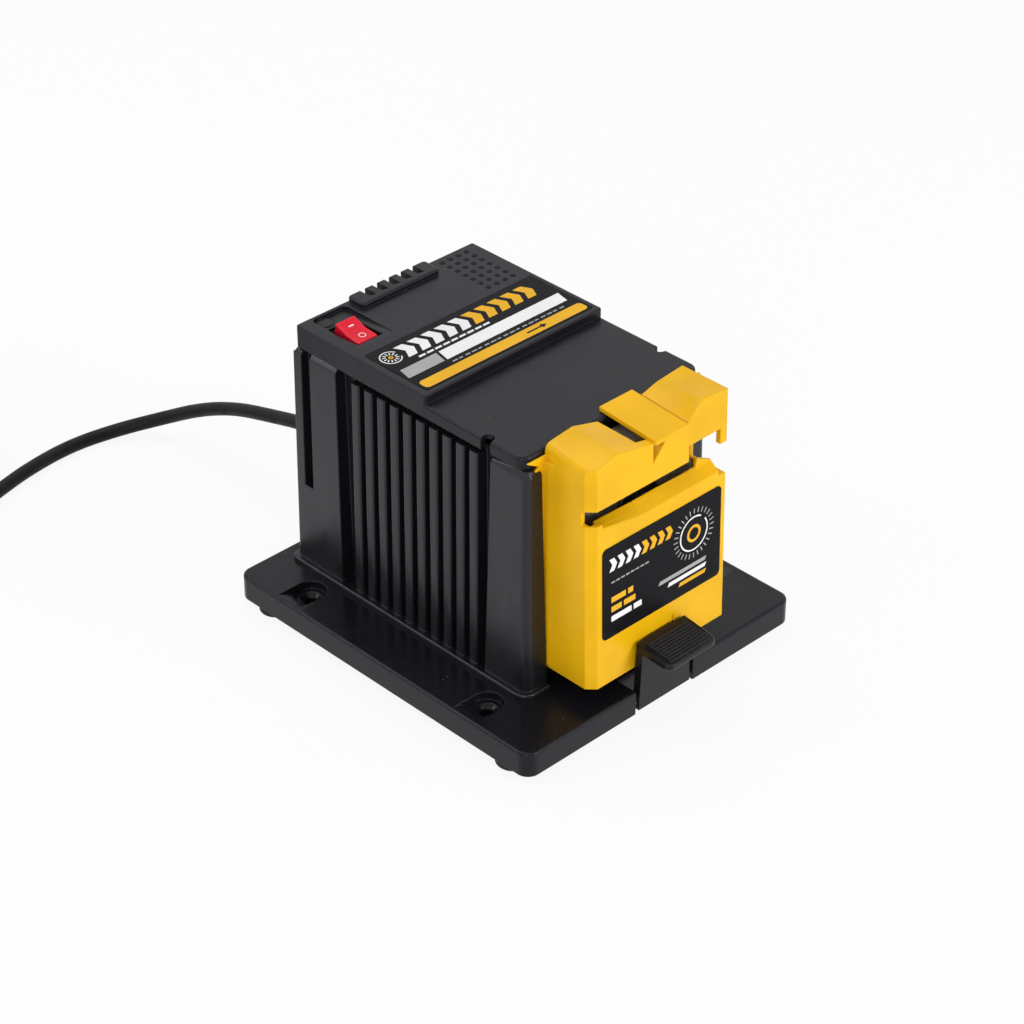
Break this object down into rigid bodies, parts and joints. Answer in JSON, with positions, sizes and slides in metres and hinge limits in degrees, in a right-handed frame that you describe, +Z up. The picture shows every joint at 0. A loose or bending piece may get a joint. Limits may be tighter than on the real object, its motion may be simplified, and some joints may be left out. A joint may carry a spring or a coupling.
{
  "type": "electric knife sharpener",
  "caption": "Mains bench sharpener: ribbed motor housing on a screw-down base, rocker switch, lift-off guide head with knife and scissors slots over a grinding wheel.",
  "frame": {"origin": "centre of the outline of base plate, feet and catch pad, at the underside of the rubber feet; the free cord is left out", "axes": "+X right and +Y to the rear, seen from the front where the guide head is; +Z up"},
  "size_m": [0.2865, 0.4572, 0.1464],
  "materials": {
    "base_black": "satin, fine moulded grain",
    "foot_rubber": "matt moulded rubber",
    "housing_black": "fine spark-eroded grain",
    "cover_black": "fine spark-eroded grain",
    "label_film": "satin printed film",
    "switch_black": "satin",
    "rocker_red": "gloss, slightly translucent",
    "guide_yellow": "satin moulded",
    "catch_black": "satin",
    "pin_steel": "ground",
    "spring_steel": "drawn wire",
    "abrasive_grey": "rough bonded grit",
    "zinc_steel": "zinc plated",
    "core_steel": "stacked sheets",
    "copper_wire": "enamelled wire",
    "copper_bar": "turned",
    "fan_grey": "satin",
    "bearing_steel": "ground and polished",
    "cast_alloy": "die cast",
    "brass_tube": "drawn",
    "carbon": "pressed carbon",
    "boot_rubber": "moulded flexible pvc",
    "cord_pvc": "smooth pvc sheath",
    "tie_black": "soft strap",
    "plug_black": "satin moulded",
    "pin_nickel": "nickel plated"
  },
  "bodies": {
    "base": {"base_plate": "base_black", "rubber_feet": "foot_rubber", "housing_body": "housing_black", "top_cover": "cover_black", "top_label": "label_film", "switch_body": "switch_black", "catch_pin": "pin_steel", "stator_core": "core_steel", "field_coils": "copper_wire", "front_bearing": "bearing_steel", "rear_bearing": "bearing_steel", "front_bracket": "cast_alloy", "rear_bracket": "cast_alloy", "motor_bolts": "zinc_steel", "brush_holders": "brass_tube", "carbon_brushes": "carbon", "brush_springs": "spring_steel", "base_screws": "zinc_steel", "bracket_screws": "zinc_steel", "cover_screws": "zinc_steel", "cord_clamp": "switch_black", "strain_relief": "boot_rubber", "cord_tube": "cord_pvc", "cord_coil": "cord_pvc", "cord_tie": "tie_black", "plug_body": "plug_black", "plug_pins": "pin_nickel"},
    "spindle": {"motor_shaft": "pin_steel", "rotor_core": "core_steel", "rotor_windings": "copper_wire", "commutator": "copper_bar", "cooling_fan": "fan_grey", "grinding_wheel": "abrasive_grey", "wheel_flanges": "pin_steel", "wheel_nut": "zinc_steel"},
    "head": {"guide_head": "guide_yellow", "guide_label": "label_film"},
    "catch": {"catch_lever": "catch_black", "catch_spring": "spring_steel"},
    "rocker": {"switch_rocker": "rocker_red"}
  },
  "joints": [
    {"name": "spindle_spin", "type": "hinge", "parent": "base", "child": "spindle", "pos_m": [0, 0.0085, 0.098], "axis": [0, 1, 0], "continuous": true},
    {"name": "head_lift", "type": "slide", "parent": "base", "child": "head", "axis": [0, 0, 1], "range_m": [0, 0.11]},
    {"name": "rocker_tilt", "type": "hinge", "parent": "base", "child": "rocker", "pos_m": [-0.039, 0.0703, 0.1382], "axis": [-1, 0, 0], "range_deg": [0, 25]},
    {"name": "catch_swing", "type": "hinge", "parent": "base", "child": "catch", "pos_m": [0, -0.085, 0.008], "axis": [1, 0, 0], "range_deg": [0, 12], "stiffness_Nm_per_rad": 0.15, "springref_deg": -14.32}
  ]
}
